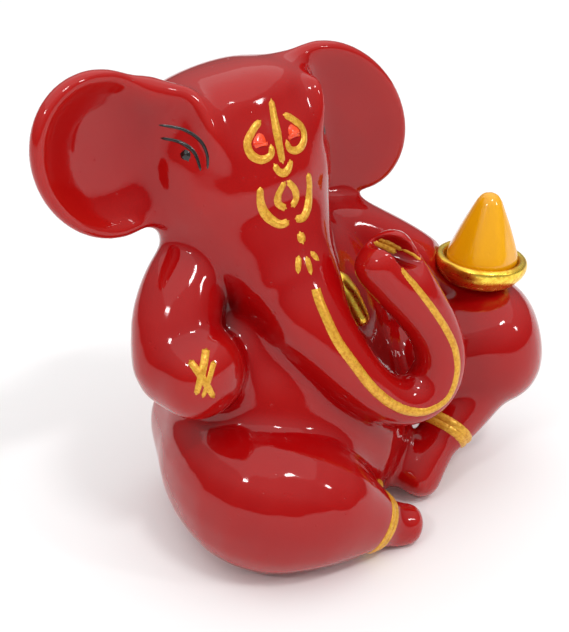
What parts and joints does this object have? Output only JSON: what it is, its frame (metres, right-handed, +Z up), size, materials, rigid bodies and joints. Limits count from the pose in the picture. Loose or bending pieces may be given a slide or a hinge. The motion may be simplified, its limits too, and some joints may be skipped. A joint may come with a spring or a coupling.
{
  "type": "elephant-headed idol",
  "caption": "Small seated elephant-headed idol in glossy red glaze, trunk curled to its left, one hand raised in blessing and the other holding a sweet in a gilded dish.",
  "frame": {"origin": "on the flat underside of the torso, under the idol's middle", "axes": "+Z up; the idol faces -Y, and its own left hand, which holds the dish, is on +X"},
  "size_m": [0.0888, 0.0491, 0.0827],
  "materials": {
    "red_glaze": "gloss",
    "gold_lustre": "polished gold lustre",
    "yellow_glaze": "gloss",
    "orange_enamel": "gloss",
    "black_enamel": "gloss"
  },
  "bodies": {
    "root": {"torso": "red_glaze", "head": "red_glaze", "trunk": "red_glaze", "ear_right": "red_glaze", "ear_left": "red_glaze", "arm_right": "red_glaze", "arm_left": "red_glaze", "leg_right": "red_glaze", "leg_left": "red_glaze", "foot_right": "red_glaze", "foot_left": "red_glaze", "dish": "gold_lustre", "sweet": "yellow_glaze", "tusk": "gold_lustre", "nostril_gilding": "gold_lustre", "anklet_right": "gold_lustre", "anklet_left": "gold_lustre", "forehead_mark": "gold_lustre", "mark_drops": "orange_enamel", "lotus_mark": "gold_lustre", "brow_dashes": "gold_lustre", "trunk_line": "gold_lustre", "palm_strokes": "gold_lustre", "eye_right": "black_enamel", "eye_left": "black_enamel"}
  },
  "joints": []
}
